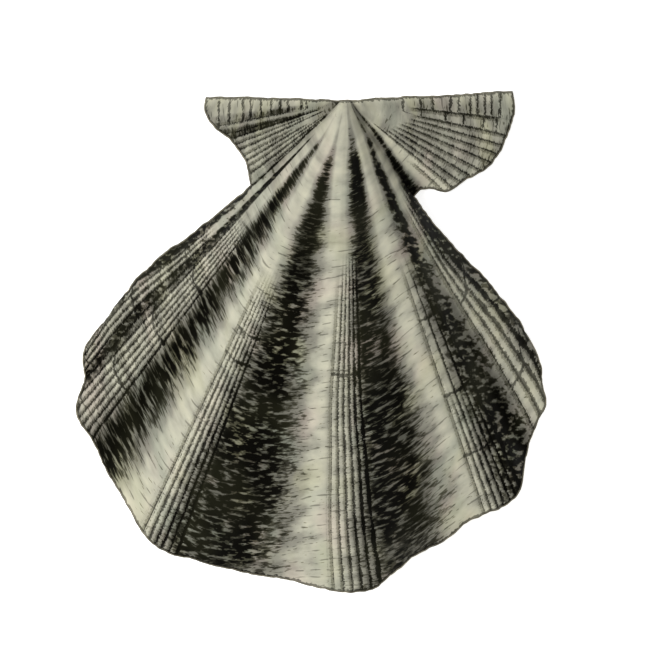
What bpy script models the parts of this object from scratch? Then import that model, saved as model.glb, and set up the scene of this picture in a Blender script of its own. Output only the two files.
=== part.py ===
"""One valve of a fossil scallop, lying with its domed side up and its hinge line along +Y.

The shell is measured along rays from its beak, the point on the hinge line where it began to grow. A ray's
angle is 0 straight across the disc, towards -Y, and positive towards +X. Growth runs along each ray from
0 at the beak to 1 at the margin, so that a line of equal growth was once the shell's own edge.
Metres, +Z up. The origin is the middle of the shell's box, on the surface that it lies on.
"""

import bmesh
import bpy
import numpy as np

MM = 0.001

# The rays that bound the disc and its two ears, in degrees
LEFT_HINGE, LEFT_EDGE, RIGHT_EDGE, RIGHT_HINGE = -91.5, -47.9, 35.4, 93.1

# How far the disc reaches along each ray: the scalloped ventral margin, from the left corner to the right
MARGIN = (
    (LEFT_EDGE, 69.5), (-46.9, 77.0), (-44.5, 80.3), (-43.3, 81.5), (-41.5, 86.6), (-40.5, 88.3),
    (-36.5, 90.7), (-32.5, 94.5), (-28.5, 98.0), (-24.5, 102.5), (-22.0, 103.7), (-17.0, 103.1),
    (-8.0, 103.0), (-3.0, 104.3), (0.0, 104.9), (2.5, 104.5), (5.0, 101.5), (8.0, 98.8),
    (13.0, 96.0), (17.0, 93.4), (21.0, 93.0), (24.0, 91.2), (26.0, 86.4), (29.3, 80.3),
    (31.8, 77.4), (32.9, 73.2), (34.2, 70.5), (35.0, 66.8), (RIGHT_EDGE, 64.0),
)
# The free edges of the ears, from the hinge line to the notch beside the disc
NOTCH_GROWTH = 0.39
LEFT_EAR = (
    (LEFT_HINGE, 30.0), (-86.0, 30.1), (-78.0, 28.2), (-70.0, 25.7), (-60.0, 25.0), (-53.0, 25.8),
    (LEFT_EDGE, 69.5 * NOTCH_GROWTH),
)
RIGHT_EAR = (
    (RIGHT_EDGE, 64.0 * NOTCH_GROWTH), (39.5, 24.6), (44.0, 25.9), (48.5, 29.2), (57.0, 30.7),
    (67.0, 33.8), (80.0, 35.4), (88.0, 36.0), (RIGHT_HINGE, 35.7),
)
# Between the notch and the corner each side of the disc swells outwards, by degrees at each growth
LEFT_SWELL = ((0.39, 0.0), (0.62, -1.0), (0.76, -1.9), (0.88, -1.1), (0.94, -0.2), (1.0, 0.4))
RIGHT_SWELL = ((0.39, 0.0), (0.48, -0.2), (0.62, 1.1), (0.76, 2.5), (0.93, 2.7), (1.0, 2.1))
LEFT_SWELL_END, RIGHT_SWELL_END = -40.0, 24.0

# The folds: height at the margin over the valleys, along each rib's two shoulders and each valley
FOLDS = (
    (LEFT_EDGE, 0.0), (-46.9, 1.8), (-44.7, 2.4), (-43.4, 1.5), (-42.4, 3.4), (-36.9, 5.8),
    (-32.6, 0.3), (-25.3, 8.0), (-20.1, 8.0), (-11.0, 0.0), (-2.2, 9.0), (3.5, 9.0),
    (10.8, 0.0), (18.8, 7.4), (24.2, 7.4), (27.0, 1.6), (29.6, 4.8), (33.9, 3.2), (RIGHT_EDGE, 0.0),
)
FOLD_GROWTH_POWER = 1.15
FOLDS_BEGIN, FOLDS_FULL = 0.02, 0.16

# The dome: the height of its crown, where along growth it stands highest, and how full its sides are
DOME_HEIGHT = 24.0 * MM
DOME_POWER = 0.85
SIDE_POWER, SIDE_FULLNESS = 2.2, 0.9
BEAK_GROWTH = 0.025
BEAK_HALF_WIDTH = 2.4 * MM
BEAK_SPREAD_GROWTH = 0.09

# The hollow underneath: the dome's inner face, inside a flat rim
HOLLOW_HEIGHT = 22.0 * MM
RIM_START, RIM_END = 0.075, 0.975
RIM_SIDE = 0.94

# Thickness of the shell's edge on the ears and round the margin
EAR_THICKNESS = 2.2 * MM
MARGIN_THICKNESS = 1.1 * MM
HINGE_THICKNESS = 3.0 * MM
HINGE_BAND = 2.6 * MM

# Mesh stations: growth at each row, and degrees from column to column
ROWS = (
    BEAK_GROWTH, 0.04, 0.06, 0.09, 0.13, 0.18, 0.23, 0.285, 0.34, NOTCH_GROWTH, 0.44, 0.495, 0.55, 0.605,
    0.66, 0.715, 0.77, 0.82, 0.865, 0.91, 0.945, RIM_END, 1.0,
)
DISC_STEP, EAR_STEP = 1.75, 7.5

SHELL_COLOUR = (0.30, 0.29, 0.23, 1.0)
SHELL_ROUGHNESS = 0.75


def curve_through(stations, place):
    """A smooth curve through (place, value) stations that never swings past them, read at each place."""
    places, values = np.array(stations, float).T
    rise = np.diff(values) / np.diff(places)
    slopes = np.zeros(len(places))
    slopes[0], slopes[-1] = rise[0], rise[-1]
    same_way = rise[:-1] * rise[1:] > 0
    before, after = rise[:-1][same_way], rise[1:][same_way]
    slopes[1:-1][same_way] = 2.0 * before * after / (before + after)
    i = np.clip(np.searchsorted(places, place) - 1, 0, len(places) - 2)
    span = places[i + 1] - places[i]
    t = np.clip((place - places[i]) / span, 0.0, 1.0)
    start = values[i] * (1 + 2 * t) * (1 - t) ** 2 + values[i + 1] * t * t * (3 - 2 * t)
    return start + span * (slopes[i] * t * (1 - t) ** 2 - slopes[i + 1] * t * t * (1 - t))


def smooth_step(value, start, end):
    """0 up to start and 1 from end on, with a smooth rise between."""
    t = np.clip((value - start) / (end - start), 0.0, 1.0)
    return t * t * (3.0 - 2.0 * t)


def column_rays():
    """The angle of each mesh column, from the left hinge line to the right. Every fold station has one."""
    rays = [LEFT_HINGE]
    ends = [LEFT_EDGE] + [angle for angle, _ in FOLDS[1:]] + [RIGHT_HINGE]
    for end in ends:
        start = rays[-1]
        on_ear = start < LEFT_EDGE or start >= RIGHT_EDGE
        count = max(1, round((end - start) / (EAR_STEP if on_ear else DISC_STEP)))
        rays += list(np.linspace(start, end, count + 1)[1:])
    return np.array(rays)


def on_disc(ray):
    return (ray >= LEFT_EDGE) & (ray <= RIGHT_EDGE)


def reach(ray):
    """Length of each ray from growth 0 to 1, which on the ears is read from their free edge."""
    left = curve_through(LEFT_EAR, ray) / NOTCH_GROWTH
    right = curve_through(RIGHT_EAR, ray) / NOTCH_GROWTH
    ear = np.where(ray < 0.0, left, right)
    return np.where(on_disc(ray), curve_through(MARGIN, ray), ear) * MM


def swell(ray, growth):
    """Degrees by which the sides of the disc bulge outwards."""
    left = curve_through(LEFT_SWELL, growth) * smooth_step(-ray, -LEFT_SWELL_END, -LEFT_EDGE)
    right = curve_through(RIGHT_SWELL, growth) * smooth_step(ray, RIGHT_SWELL_END, RIGHT_EDGE)
    return (left + right) * (growth > NOTCH_GROWTH)


def plan(ray, growth):
    """x and y of a point of the shell. Close to the beak the rays start from a short run of hinge line."""
    angle = np.radians(ray + swell(ray, growth))
    radius = reach(ray) * growth
    spread = 1.0 - smooth_step(growth, BEAK_GROWTH, BEAK_SPREAD_GROWTH)
    hinge_x = BEAK_HALF_WIDTH * ray / RIGHT_HINGE
    x = (1.0 - spread) * radius * np.sin(angle) + spread * hinge_x
    y = -(1.0 - spread) * radius * np.cos(angle)
    return x, y


def dome(ray, growth, start, end, side):
    """Height of a smooth dome, from 0 to 1, which comes down at growths start and end and at its sides."""
    along = np.clip((growth - start) / (end - start), 0.0, 1.0)
    middle = (LEFT_EDGE + RIGHT_EDGE) / 2
    across = np.clip(np.abs(ray - middle) / ((RIGHT_EDGE - LEFT_EDGE) / 2 * side), 0.0, 1.0)
    fullness = (1.0 - across**SIDE_POWER) ** SIDE_FULLNESS
    return np.sin(np.pi * along**DOME_POWER) * fullness


def fold_height(ray, growth):
    """Height that the ribs add, the same on the outer and inner face. The beak is smooth, then it grows."""
    height = np.where(on_disc(ray), curve_through(FOLDS, ray), 0.0) * MM
    return height * growth**FOLD_GROWTH_POWER * smooth_step(growth, FOLDS_BEGIN, FOLDS_FULL)


def edge_thickness(ray, growth, y):
    """Thick along the hinge line, thinner over the ears, thinnest round the margin of the disc."""
    thick = MARGIN_THICKNESS + (EAR_THICKNESS - MARGIN_THICKNESS) * (
        1.0 - smooth_step(growth, NOTCH_GROWTH, NOTCH_GROWTH + 0.1)
    )
    hinge = (HINGE_THICKNESS - EAR_THICKNESS) * (1.0 - smooth_step(np.abs(y), 0.0, HINGE_BAND))
    return thick + np.where(growth <= NOTCH_GROWTH, hinge, 0.0)


def shell_points(ray, growth, side):
    """Coordinates of the shell's points: side is 1 on its outer face and 0 on its inner face."""
    x, y = plan(ray, growth)
    folds = fold_height(ray, growth)
    outer = folds + DOME_HEIGHT * dome(ray, growth, BEAK_GROWTH, 1.0, 1.0)
    outer += edge_thickness(ray, growth, y)
    inner = folds + HOLLOW_HEIGHT * dome(ray, growth, RIM_START, RIM_END, RIM_SIDE)
    return np.column_stack((x, y, inner + (outer - inner) * side))


def flat_slab(rays):
    """A thin slab in mesh stations: x counts columns, y counts rows, and z is 0 below and 1 above."""
    columns, rows = len(rays) - 1, len(ROWS) - 1
    slab = bmesh.new()
    bmesh.ops.create_grid(slab, x_segments=columns, y_segments=rows, size=0.5)
    bmesh.ops.translate(slab, vec=(0.5, 0.5, 0.0), verts=slab.verts)
    bmesh.ops.scale(slab, vec=(columns, rows, 1.0), verts=slab.verts)
    left, right = np.searchsorted(rays, (LEFT_EDGE, RIGHT_EDGE))
    notch = ROWS.index(NOTCH_GROWTH)
    beyond = []
    for face in slab.faces:
        middle = face.calc_center_median()
        if middle.y > notch and not left < middle.x < right:
            beyond.append(face)
    bmesh.ops.delete(slab, geom=beyond, context="FACES")
    raised = bmesh.ops.extrude_face_region(slab, geom=slab.faces[:], use_keep_orig=True)["geom"]
    top = [item for item in raised if isinstance(item, bmesh.types.BMVert)]
    bmesh.ops.translate(slab, vec=(0.0, 0.0, 1.0), verts=top)
    return slab


def bend_to_shell(slab, rays):
    """Moves each point of the flat slab to its place on the shell."""
    stations = np.array([vert.co for vert in slab.verts])
    ray = np.interp(stations[:, 0], np.arange(len(rays)), rays)
    growth = np.interp(stations[:, 1], np.arange(len(ROWS)), ROWS)
    places = shell_points(ray, growth, stations[:, 2])
    low, high = places.min(axis=0), places.max(axis=0)
    places -= ((low[0] + high[0]) / 2, (low[1] + high[1]) / 2, low[2])
    for vert, place in zip(slab.verts, places):
        vert.co = place


def shell_material():
    material = bpy.data.materials.new("fossil_shell")
    material.use_nodes = True
    shader = material.node_tree.nodes["Principled BSDF"]
    shader.inputs["Base Color"].default_value = SHELL_COLOUR
    shader.inputs["Roughness"].default_value = SHELL_ROUGHNESS
    shader.inputs["Metallic"].default_value = 0.0
    return material


def make_valve():
    rays = column_rays()
    slab = flat_slab(rays)
    bend_to_shell(slab, rays)
    bmesh.ops.recalc_face_normals(slab, faces=slab.faces)
    mesh = bpy.data.meshes.new("valve")
    slab.to_mesh(mesh)
    slab.free()
    mesh.shade_smooth()
    mesh.set_sharp_from_angle(angle=np.radians(50.0))
    mesh.materials.append(shell_material())
    valve = bpy.data.objects.new("valve", mesh)
    bpy.context.scene.collection.objects.link(valve)
    return valve


for leftover in list(bpy.data.objects):
    bpy.data.objects.remove(leftover)
make_valve()
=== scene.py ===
# %% [markdown]
# # A fossil scallop
# One valve of a large ribbed scallop, lying on its flat side with the domed outer face up. It grew as one
# piece, so it is one mesh here too. A shell is a record of its own edge: every line of growth was once its
# margin, and every rib is the track of one fold in that margin. So the whole shape can be written as a
# function of two numbers, the ray from the beak and the growth along that ray, and a flat grid can be bent
# into it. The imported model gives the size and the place, and everything below is made to fit it.

import bmesh
import bpy
import numpy as np
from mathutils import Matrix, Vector, kdtree, noise


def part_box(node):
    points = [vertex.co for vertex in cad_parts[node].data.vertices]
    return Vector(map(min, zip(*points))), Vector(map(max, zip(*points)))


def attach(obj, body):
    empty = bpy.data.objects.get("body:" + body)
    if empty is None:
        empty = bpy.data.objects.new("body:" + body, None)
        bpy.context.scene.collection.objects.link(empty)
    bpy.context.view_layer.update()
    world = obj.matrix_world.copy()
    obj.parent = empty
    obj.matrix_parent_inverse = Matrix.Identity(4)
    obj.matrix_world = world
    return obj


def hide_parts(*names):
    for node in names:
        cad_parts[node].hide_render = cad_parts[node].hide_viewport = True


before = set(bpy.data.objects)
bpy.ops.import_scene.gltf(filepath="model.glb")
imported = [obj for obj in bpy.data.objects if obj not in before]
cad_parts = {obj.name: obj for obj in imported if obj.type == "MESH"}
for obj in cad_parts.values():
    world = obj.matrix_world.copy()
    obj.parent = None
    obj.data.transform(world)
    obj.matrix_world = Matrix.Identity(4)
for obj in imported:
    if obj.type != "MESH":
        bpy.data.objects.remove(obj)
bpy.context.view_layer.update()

MM = 0.001
valve_low, valve_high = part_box("valve")
print("the packed model spans", [round(side / MM, 1) for side in valve_high - valve_low], "mm")

# %% [markdown]
# ## The outline
# The disc and its two ears, or auricles, are measured along rays from the beak, the point on the hinge line
# where the shell began. A ray's angle is 0 straight across the disc and positive towards the right. A few
# stations hold each edge, and a smooth curve joins them. A monotone curve is used because an ordinary
# spline would swing past its stations at the sharp corners of the margin.

# %% The outline's stations
LEFT_HINGE, LEFT_EDGE, RIGHT_EDGE, RIGHT_HINGE = -91.5, -47.9, 35.4, 93.1
MARGIN = (
    (LEFT_EDGE, 69.5), (-46.9, 77.0), (-44.5, 80.3), (-43.3, 81.5), (-41.5, 86.6), (-40.5, 88.3),
    (-36.5, 90.7), (-32.5, 94.5), (-28.5, 98.0), (-24.5, 102.5), (-22.0, 103.7), (-17.0, 103.1),
    (-8.0, 103.0), (-3.0, 104.3), (0.0, 104.9), (2.5, 104.5), (5.0, 101.5), (8.0, 98.8),
    (13.0, 96.0), (17.0, 93.4), (21.0, 93.0), (24.0, 91.2), (26.0, 86.4), (29.3, 80.3),
    (31.8, 77.4), (32.9, 73.2), (34.2, 70.5), (35.0, 66.8), (RIGHT_EDGE, 64.0),
)
NOTCH_GROWTH = 0.39
LEFT_EAR = (
    (LEFT_HINGE, 30.0), (-86.0, 30.1), (-78.0, 28.2), (-70.0, 25.7), (-60.0, 25.0), (-53.0, 25.8),
    (LEFT_EDGE, 69.5 * NOTCH_GROWTH),
)
RIGHT_EAR = (
    (RIGHT_EDGE, 64.0 * NOTCH_GROWTH), (39.5, 24.6), (44.0, 25.9), (48.5, 29.2), (57.0, 30.7),
    (67.0, 33.8), (80.0, 35.4), (88.0, 36.0), (RIGHT_HINGE, 35.7),
)


def curve_through(stations, place):
    """A smooth curve through (place, value) stations that never swings past them, read at each place."""
    places, values = np.array(stations, float).T
    rise = np.diff(values) / np.diff(places)
    slopes = np.zeros(len(places))
    slopes[0], slopes[-1] = rise[0], rise[-1]
    same_way = rise[:-1] * rise[1:] > 0
    before, after = rise[:-1][same_way], rise[1:][same_way]
    slopes[1:-1][same_way] = 2.0 * before * after / (before + after)
    i = np.clip(np.searchsorted(places, place) - 1, 0, len(places) - 2)
    span = places[i + 1] - places[i]
    t = np.clip((place - places[i]) / span, 0.0, 1.0)
    start = values[i] * (1 + 2 * t) * (1 - t) ** 2 + values[i + 1] * t * t * (3 - 2 * t)
    return start + span * (slopes[i] * t * (1 - t) ** 2 - slopes[i + 1] * t * t * (1 - t))


def smooth_step(value, start, end):
    """0 up to start and 1 from end on, with a smooth rise between."""
    t = np.clip((value - start) / (end - start), 0.0, 1.0)
    return t * t * (3.0 - 2.0 * t)


def on_disc(ray):
    return (ray >= LEFT_EDGE) & (ray <= RIGHT_EDGE)


def reach(ray):
    """Length of each ray from growth 0 to 1, which on the ears is read from their free edge."""
    left = curve_through(LEFT_EAR, ray) / NOTCH_GROWTH
    right = curve_through(RIGHT_EAR, ray) / NOTCH_GROWTH
    ear = np.where(ray < 0.0, left, right)
    return np.where(on_disc(ray), curve_through(MARGIN, ray), ear) * MM


middle_reach = float(reach(np.array([0.0]))[0])
print("the middle ray is", round(middle_reach / MM, 1), "mm long")

# %% [markdown]
# ## Rays that bend
# The rays aren't quite straight. Below the notches the sides of the disc bulge, and the middle rib sways a
# little to one side and back as it grows. Both are a few degrees added to the ray at each growth. Close to
# the beak the rays start from a short run of hinge line, so that the mesh has no pole where all columns
# meet.

# %% From ray and growth to a place in plan
LEFT_SWELL = ((0.39, 0.0), (0.62, -1.0), (0.76, -1.9), (0.88, -1.1), (0.94, -0.2), (1.0, 0.4))
RIGHT_SWELL = ((0.39, 0.0), (0.48, -0.2), (0.62, 1.1), (0.76, 2.5), (0.93, 2.7), (1.0, 2.1))
LEFT_SWELL_END, RIGHT_SWELL_END = -40.0, 24.0
MIDDLE_SWAY = ((0.3, 0.0), (0.45, -0.5), (0.62, -0.8), (0.73, -0.45), (0.85, -0.2), (1.0, 0.5))
SWAY_START, SWAY_FULL, SWAY_LEAVES, SWAY_END = -11.0, -2.5, 4.0, 11.0
BEAK_GROWTH = 0.025
BEAK_HALF_WIDTH = 2.4 * MM
BEAK_SPREAD_GROWTH = 0.09


def swell(ray, growth):
    """Degrees by which the sides of the disc bulge outwards and its middle rib sways."""
    left = curve_through(LEFT_SWELL, growth) * smooth_step(-ray, -LEFT_SWELL_END, -LEFT_EDGE)
    right = curve_through(RIGHT_SWELL, growth) * smooth_step(ray, RIGHT_SWELL_END, RIGHT_EDGE)
    near_middle = smooth_step(ray, SWAY_START, SWAY_FULL) * (1 - smooth_step(ray, SWAY_LEAVES, SWAY_END))
    sway = curve_through(MIDDLE_SWAY, growth) * near_middle
    return np.where(growth > NOTCH_GROWTH, left + right, 0.0) + sway


def plan(ray, growth):
    """x and y of a point of the shell, from the beak."""
    angle = np.radians(ray + swell(ray, growth))
    radius = reach(ray) * growth
    spread = 1.0 - smooth_step(growth, BEAK_GROWTH, BEAK_SPREAD_GROWTH)
    hinge_x = BEAK_HALF_WIDTH * ray / RIGHT_HINGE
    x = (1.0 - spread) * radius * np.sin(angle) + spread * hinge_x
    y = -(1.0 - spread) * radius * np.cos(angle)
    return x, y


tip = plan(np.array([0.0]), np.array([1.0]))
print("the middle ray ends", [round(float(way[0]) / MM, 1) for way in tip], "mm from the beak")

# %% [markdown]
# ## The dome, the folds and the hollow
# In section the valve is a dome that comes down at the hinge line and at the margin. Broad folds run over
# it from the beak, and they grow with the shell. The inner face follows the same folds, because a scallop's
# shell is corrugated and nearly even in thickness.

# %% Heights of the outer and the inner face
FOLDS = (
    (LEFT_EDGE, 0.0), (-46.9, 1.8), (-44.7, 2.4), (-43.4, 1.5), (-42.4, 3.4), (-36.9, 5.8),
    (-32.6, 0.3), (-25.3, 8.0), (-20.1, 8.0), (-11.0, 0.0), (-2.2, 9.0), (3.5, 9.0),
    (10.8, 0.0), (18.8, 7.4), (24.2, 7.4), (27.0, 1.6), (29.6, 4.8), (33.9, 3.2), (RIGHT_EDGE, 0.0),
)
FOLD_GROWTH_POWER = 1.15
FOLDS_BEGIN, FOLDS_FULL = 0.02, 0.16
DOME_HEIGHT = 24.0 * MM
DOME_POWER = 0.85
SIDE_POWER, SIDE_FULLNESS = 2.2, 0.9
HOLLOW_HEIGHT = 22.0 * MM
RIM_START, RIM_END = 0.075, 0.975
RIM_SIDE = 0.94
EAR_THICKNESS = 2.2 * MM
MARGIN_THICKNESS = 1.1 * MM
HINGE_THICKNESS = 3.0 * MM
HINGE_BAND = 2.6 * MM
THINS_OVER = 0.1


def dome(ray, growth, start, end, side):
    """Height of a smooth dome, from 0 to 1, which comes down at growths start and end and at its sides."""
    along = np.clip((growth - start) / (end - start), 0.0, 1.0)
    middle = (LEFT_EDGE + RIGHT_EDGE) / 2
    across = np.clip(np.abs(ray - middle) / ((RIGHT_EDGE - LEFT_EDGE) / 2 * side), 0.0, 1.0)
    fullness = (1.0 - across**SIDE_POWER) ** SIDE_FULLNESS
    return np.sin(np.pi * along**DOME_POWER) * fullness


def fold_height(ray, growth):
    """Height that the folds add, the same on the outer and the inner face. The beak itself is smooth."""
    height = np.where(on_disc(ray), curve_through(FOLDS, ray), 0.0) * MM
    return height * growth**FOLD_GROWTH_POWER * smooth_step(growth, FOLDS_BEGIN, FOLDS_FULL)


def edge_thickness(ray, growth, y):
    """Thick along the hinge line, thinner over the ears, thinnest round the margin of the disc."""
    thick = MARGIN_THICKNESS + (EAR_THICKNESS - MARGIN_THICKNESS) * (
        1.0 - smooth_step(growth, NOTCH_GROWTH, NOTCH_GROWTH + THINS_OVER)
    )
    hinge = (HINGE_THICKNESS - EAR_THICKNESS) * (1.0 - smooth_step(np.abs(y), 0.0, HINGE_BAND))
    return thick + np.where(growth <= NOTCH_GROWTH, hinge, 0.0)


def shell_points(ray, growth, side):
    """Coordinates of the bare shell's points: side is 1 on its outer face and 0 on its inner face."""
    x, y = plan(ray, growth)
    folds = fold_height(ray, growth)
    outer = folds + DOME_HEIGHT * dome(ray, growth, BEAK_GROWTH, 1.0, 1.0)
    outer += edge_thickness(ray, growth, y)
    inner = folds + HOLLOW_HEIGHT * dome(ray, growth, RIM_START, RIM_END, RIM_SIDE)
    return np.column_stack((x, y, inner + (outer - inner) * side))


under, over = shell_points(np.zeros(2), np.full(2, 0.5), np.array([0.0, 1.0]))
print("half way along the middle ray the shell is", round((over - under)[2] / MM, 1), "mm thick")

# %% [markdown]
# ## The grooves
# Each broad fold carries a bundle of fine riblets with a groove between each two, and the ears carry a few
# grooves of their own. Every groove has a number. Read across the shell, that number becomes a smooth
# "phase" which is whole in the middle of each groove, so that the mesh can be cut and the finish can be
# painted from one and the same value, and the two always agree.

# %% Where the grooves run
# Each bundle: the rays of its first and last groove, how many there are, their half widths in mm from the
# first to the last, and the growths at which they begin and are fully cut
BUNDLES = (
    (-47.2, -44.3, 4, (0.20, 0.24), (0.44, 0.62)),
    (-43.1, -37.0, 7, (0.21, 0.24), (0.30, 0.54)),
    (-25.1, -20.5, 6, (0.26, 0.32), (0.28, 0.70)),
    (-1.8, 3.6, 6, (0.12, 0.44), (0.24, 0.50)),
    (18.7, 24.2, 7, (0.20, 0.32), (0.30, 0.58)),
    (29.0, 33.6, 4, (0.20, 0.48), (0.22, 0.50)),
)
# Each groove of its own: its ray, half width in mm, and the growths at which it begins, is full and ends
LEFT_EAR_GROOVES = (
    (-78.6, 0.14, 0.14, 0.22, 0.40), (-74.0, 0.16, 0.16, 0.24, 0.40), (-71.6, 0.18, 0.05, 0.10, 0.40),
    (-68.3, 0.12, 0.10, 0.18, 0.40), (-65.1, 0.17, 0.06, 0.12, 0.40), (-61.4, 0.10, 0.16, 0.24, 0.40),
    (-58.8, 0.18, 0.12, 0.20, 0.40), (-55.6, 0.10, 0.06, 0.12, 0.40), (-52.5, 0.19, 0.10, 0.16, 0.40),
    (-49.3, 0.14, 0.06, 0.12, 0.30),
)
RIGHT_EAR_GROOVES = (
    (47.6, 0.10, 0.24, 0.30, 0.42), (51.2, 0.20, 0.08, 0.14, 0.42), (54.7, 0.19, 0.12, 0.18, 0.42),
    (58.9, 0.20, 0.12, 0.20, 0.42), (62.9, 0.18, 0.12, 0.20, 0.42), (67.1, 0.20, 0.12, 0.20, 0.42),
    (70.8, 0.14, 0.14, 0.20, 0.42), (74.3, 0.17, 0.14, 0.20, 0.42), (77.9, 0.22, 0.14, 0.22, 0.42),
    (83.4, 0.22, 0.14, 0.18, 0.37),
)
SECOND_GROOVES_BEGIN, SECOND_GROOVES_FULL = 0.66, 0.85
SPLIT_BUNDLE = BUNDLES[4]
BEYOND_MARGIN = 2.0


def bundle_grooves(bundle):
    """The grooves of one bundle. In the split bundle every second one begins late, between two others."""
    first, last, count, widths, (begins, full) = bundle
    grooves = []
    for i, (ray, width) in enumerate(zip(np.linspace(first, last, count), np.linspace(*widths, count))):
        late = bundle is SPLIT_BUNDLE and i % 2 == 1
        start, whole = (SECOND_GROOVES_BEGIN, SECOND_GROOVES_FULL) if late else (begins, full)
        grooves.append((ray, width, start, whole, BEYOND_MARGIN))
    return grooves


disc_grooves = [groove for bundle in BUNDLES for groove in bundle_grooves(bundle)]
grooves = np.array([*LEFT_EAR_GROOVES, *disc_grooves, *RIGHT_EAR_GROOVES])
groove_rays, groove_half_widths, groove_begins, groove_full, groove_ends = grooves.T
print(len(grooves), "grooves,", len(disc_grooves), "of them on the disc")

# %% [markdown]
# ## Phase, pitch and width
# The phase runs through the numbers of the grooves, the pitch is the distance from one groove to the next
# at this place, and the width is how wide the nearest groove is cut: nothing near the beak, where it hasn't
# begun.

# %% Read the grooves at any ray and growth
NARROW_SHARE = 0.45
GROOVE_END_LENGTH = 0.02
RAY_PADDING = 20.0


def phase_and_pitch(stations, place, padding):
    """Whole at each station and half way to the next between, with the distance from station to station."""
    padded = np.concatenate(([stations[0] - padding], stations, [stations[-1] + padding]))
    i = np.clip(np.searchsorted(padded, place) - 1, 0, len(padded) - 2)
    return np.interp(place, padded, np.arange(len(padded)) - 1.0), np.diff(padded)[i]


def groove_phase(ray):
    return phase_and_pitch(groove_rays, ray, RAY_PADDING)[0]


def nearest_groove(ray):
    return np.clip(np.rint(groove_phase(ray)), 0, len(grooves) - 1).astype(int)


def groove_pitch(ray, growth):
    """Distance in mm from groove to groove at this place."""
    step = phase_and_pitch(groove_rays, ray, RAY_PADDING)[1]
    return np.radians(step) * reach(ray) * growth / MM


def groove_cut(ray, growth):
    """How far the nearest groove is cut at this growth, from 0 to 1."""
    i = nearest_groove(ray)
    begun = smooth_step(growth, groove_begins[i], groove_full[i])
    ended = smooth_step(growth, groove_ends[i] - GROOVE_END_LENGTH, groove_ends[i])
    return begun * (1.0 - ended)


def groove_width(ray, growth):
    """Half width in mm of the nearest groove here."""
    narrowing = np.where(on_disc(ray), NARROW_SHARE + (1.0 - NARROW_SHARE) * growth, 1.0)
    return groove_half_widths[nearest_groove(ray)] * groove_cut(ray, growth) * narrowing


widest_pitch = float(groove_pitch(np.array([0.0]), np.array([1.0]))[0])
print("the grooves of the middle rib end", round(widest_pitch, 1), "mm apart")

# %% [markdown]
# ## Cracks and rests
# Short cracks cross the band along the hinge line, and where the shell rested in its growth a dark line
# crosses the riblets of one rib. Both follow the lines of growth, so they are read from the growth, or from
# the distance to the beak, just as the grooves are read from the ray.

# %% Where the cracks and rests are
# Cracks: their distances from the beak in mm, between two rays. Rests: their growths, between two rays.
LEFT_CRACKS_END, TIER_RAY, LOWER_TIER_END = -77.5, 83.4, 77.9
CRACKS = (
    (-92.0, LEFT_CRACKS_END, (8.4, 9.5, 12.4, 14.1, 16.0, 18.2, 20.4, 22.0, 25.0, 27.2)),
    (TIER_RAY, 94.0, (12.2, 16.1, 18.6, 22.4, 24.1, 26.7, 28.2, 29.8, 31.2, 33.0)),
    (LOWER_TIER_END, TIER_RAY, (12.2, 16.1, 21.3, 25.2, 29.5, 32.2)),
)
RESTS = (
    (LEFT_EDGE, -43.2, (0.60, 0.79)), (-42.6, -36.2, (0.57, 0.718, 0.862)), (-26.0, -19.6, (0.525, 0.583)),
    (-2.4, 4.4, (0.56,)), (18.0, 25.0, (0.533, 0.714, 0.859)), (28.6, RIGHT_EDGE, (0.62, 0.88)),
)
CRACK_HALF_WIDTH, REST_HALF_WIDTH = 0.24, 0.32
CRACK_PADDING, REST_PADDING = 4.0, 0.12


def cracks(ray, growth):
    """Phase, pitch in mm and half width in mm of the cracks and rests at this place."""
    from_beak = np.abs(plan(ray, growth)[0]) / MM
    phase, pitch, width = np.full_like(growth, -0.5), np.ones_like(growth), np.zeros_like(growth)
    for families, measure, half_width, unit, padding in (
        (CRACKS, from_beak, CRACK_HALF_WIDTH, 1.0, CRACK_PADDING),
        (RESTS, growth, REST_HALF_WIDTH, reach(ray) / MM, REST_PADDING),
    ):
        for first_ray, last_ray, places in families:
            inside = (ray >= first_ray) & (ray <= last_ray)
            family_phase, family_pitch = phase_and_pitch(np.array(places), measure, padding)
            family_phase = np.clip(family_phase, -0.5, len(places) - 0.5)
            phase = np.where(inside, family_phase, phase)
            pitch = np.where(inside, family_pitch * unit, pitch)
            width = np.where(inside, half_width, width)
    return phase, pitch, width


crack_count, rest_count = (sum(len(places) for *_, places in families) for families in (CRACKS, RESTS))
print(crack_count, "cracks and", rest_count, "rests")

# %% [markdown]
# ## The flat slab
# The shell starts as a flat slab, whose x counts columns and whose y counts rows. Each column stands for a
# ray and each row for a growth. There is a column on every groove of the disc, and on every turn of its
# folds that no groove marks already, because a crease only shows where the mesh has an edge along it. One
# row lies at the notches, where the ears end.

# %% Lay out the columns and rows
FLANK_STEP, EAR_STEP = 2.2, 4.4
BASE_ROWS, NOTCH_ROW = 52, 20
TURN_CLEARANCE = 0.8


def column_rays():
    """The ray of each column, from the left hinge line to the right."""
    on_grooves = {groove[0] for groove in disc_grooves}
    clearances = {fold: min(abs(fold - groove) for groove in on_grooves) for fold, _ in FOLDS}
    turns = {fold for fold, clearance in clearances.items() if clearance > TURN_CLEARANCE}
    stops = sorted(turns | on_grooves | {LEFT_EDGE, RIGHT_EDGE, RIGHT_HINGE})
    rays = [LEFT_HINGE]
    for stop in stops:
        start = rays[-1]
        on_ear = start < LEFT_EDGE or start >= RIGHT_EDGE
        count = max(1, round((stop - start) / (EAR_STEP if on_ear else FLANK_STEP)))
        rays += list(np.linspace(start, stop, count + 1)[1:])
    return np.array(rays)


rays = column_rays()
growths = np.interp(np.arange(BASE_ROWS + 1), (0, NOTCH_ROW, BASE_ROWS), (BEAK_GROWTH, NOTCH_GROWTH, 1.0))
columns = len(rays) - 1
print(columns, "columns and", BASE_ROWS, "rows")

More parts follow.
